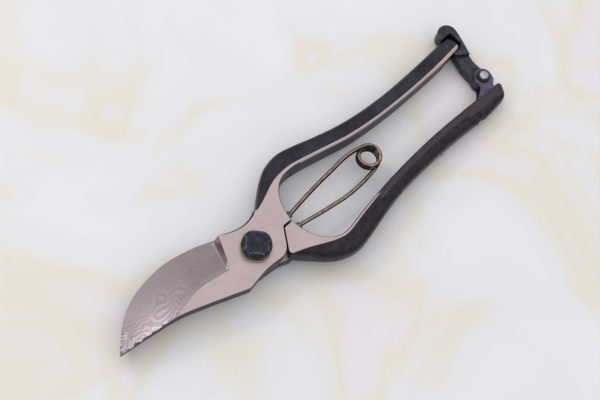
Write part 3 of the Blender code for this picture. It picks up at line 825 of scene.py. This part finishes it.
turned_through = COIL_TURNS * 360 - 2 * LEG_SLOPE
count = int(POINTS_PER_TURN * turned_through / 360)
turns = []
for k in range(1, count):
    share = k / count
    angle = math.radians(-(90 - LEG_SLOPE) + turned_through * share)
    height = coil.z - COIL_PITCH * COIL_TURNS / 2 + COIL_PITCH * COIL_TURNS * share
    round_coil = Vector((math.cos(angle), math.sin(angle), 0)) * COIL_RADIUS
    turns.append(Vector((coil.x, coil.y, height)) + round_coil)
route = leg_points(hook_foot, -1) + turns + leg_points(blade_foot, 1)[::-1]
print("the wire's route has", len(route), "points")

# %% [markdown]
# The faces of the wire that look up get a lighter copper tone, a painted highlight along its
# top. Converting a path leaves its two end caps unmerged.

# %% Bend the wire
wire_path = bpy.data.curves.new("spring_wire_path", "CURVE")
wire_path.dimensions = "3D"
wire_path.resolution_u = 6
wire_path.bevel_depth = WIRE_RADIUS * MM
wire_path.bevel_resolution = 5
wire_path.use_fill_caps = True
line = wire_path.splines.new("BEZIER")
line.bezier_points.add(len(route) - 1)
for knot, point in zip(line.bezier_points, route):
    knot.co = point * MM
    knot.handle_left_type = "AUTO"
    knot.handle_right_type = "AUTO"
spring = bpy.data.objects.new("coil_spring", wire_path)
bpy.context.scene.collection.objects.link(spring)
only(spring)
bpy.ops.object.convert(target="MESH")
spring = bpy.context.object
spring.data.materials.clear()
# Faces that look up take the painted highlight; the rest take the dark wire.
paint(spring, [(painted_highlight_wire, lambda face: face.normal.z > 0.86), (spring_wire, lambda face: True)])
bpy.ops.object.shade_smooth()
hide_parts("spring_hook_leg", "spring_blade_leg")
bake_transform(spring)
print("spring has", len(spring.data.polygons), "faces")

# %% [markdown]
# ## Room, light and camera
#
# The shears lie on a slab of pale honed stone with a few faint warm clouds in it. The clouds are
# about 70 mm across.

# %% Floor
bpy.ops.object.select_all(action="DESELECT")
bpy.ops.mesh.primitive_plane_add(size=4.0, location=(0, 0, -0.02 * MM))
floor = bpy.context.object
floor.name = "floor"
floor_finish, tree, shader, place = new_material("pale_honed_stone", 0.0, 0.35)
cloud = add_node(tree, "ShaderNodeTexNoise", {
    "Vector": place, "Scale": per_mm(71.43), "Detail": 4.0, "Distortion": 0.8,
})
stone = [
    (0.36, linear("#ebeaf0")), (0.5, linear("#e7e7e9")),
    (0.58, linear("#e7e1d5")), (0.64, linear("#e9e4e8")),
]
colour = add_node(tree, "ShaderNodeValToRGB", {0: cloud.outputs[0]}, stone)
rough = add_node(tree, "ShaderNodeMapRange", {0: cloud.outputs[0], 3: 0.3, 4: 0.42})
drive(tree, shader, Base_Color=colour.outputs[0], Roughness=rough.outputs[0])
floor.data.materials.append(floor_finish)
print(floor_finish.name, "laid")

# %% [markdown]
# Steel only looks like steel when it has something to reflect, so the sky of the room is a
# gradient: bright overhead and dim near the horizon.

# %% Sky
world = bpy.data.worlds.new("soft_room")
bpy.context.scene.world = world
world.use_nodes = True
tree = world.node_tree
background = tree.nodes["Background"]
direction = add_node(tree, "ShaderNodeTexCoord").outputs["Generated"]
split = add_node(tree, "ShaderNodeSeparateXYZ", {0: direction})
heights = [(0.0, grey(0.46)), (0.3, grey(0.58)), (0.75, grey(1.0))]
sky = add_node(tree, "ShaderNodeValToRGB", {0: split.outputs[2]}, heights)
tree.links.new(sky.outputs[0], background.inputs[0])
background.inputs[1].default_value = 1.0
print("sky is brightest overhead")

# %% [markdown]
# A wide soft lamp stands behind the handles and gives the shadow its direction. It is hidden from
# reflections, because its image would wash the layer lines out of the bevel. A second lamp, low
# and narrow like a slit between curtains, stands where the steep part of the bevel mirrors it, so
# it makes a glint along the blade's spine and near the tip.

# %% Lamps


def soft_lamp(name, place, size, watts, target=(0.03, 0.0, 0.0)):
    """A square area lamp that faces the target."""
    bpy.ops.object.light_add(type="AREA", location=place)
    lamp = bpy.context.object
    lamp.name = name
    lamp.data.size = size
    lamp.data.energy = watts
    lamp.rotation_euler = (Vector(target) - Vector(place)).to_track_quat("-Z", "Y").to_euler()
    return lamp


window = soft_lamp("window_light", (0.0, 0.65, 0.9), 0.7, 0.95)
window.visible_glossy = False

slit = soft_lamp("blade_glint_light", (-0.11, 0.66, 0.69), 0.3, 0.65, target=(-0.055, 0.0, 0.013))
slit.data.shape = "RECTANGLE"
slit.data.size_y = 0.08
print("lamps:", window.name, slit.name)

# %% [markdown]
# The camera looks down at 64 degrees from the blade's side, tilted so that the shears lie along
# the picture's diagonal. It is built from those angles, and from the point it looks at.

# %% Camera
CAMERA_HEADING = math.radians(28.3)
CAMERA_DROP = math.radians(64.0)
CAMERA_ROLL = math.radians(20.0)
CAMERA_DISTANCE = 0.5755
LOOK_AT = Vector((0.0302, 0.0050, 0.0070))

view_line = Vector((
    math.cos(CAMERA_HEADING) * math.cos(CAMERA_DROP),
    math.sin(CAMERA_HEADING) * math.cos(CAMERA_DROP),
    -math.sin(CAMERA_DROP),
))
bpy.ops.object.camera_add(location=LOOK_AT - view_line * CAMERA_DISTANCE)
camera = bpy.context.object
camera.data.lens = 85.0
camera.data.sensor_width = 36.0
camera.data.clip_start = 0.01
turn = view_line.to_track_quat("-Z", "Y").to_matrix() @ Matrix.Rotation(CAMERA_ROLL, 3, "Z")
camera.rotation_euler = turn.to_euler()
bpy.context.scene.camera = camera
bpy.context.scene.view_settings.view_transform = "Standard"
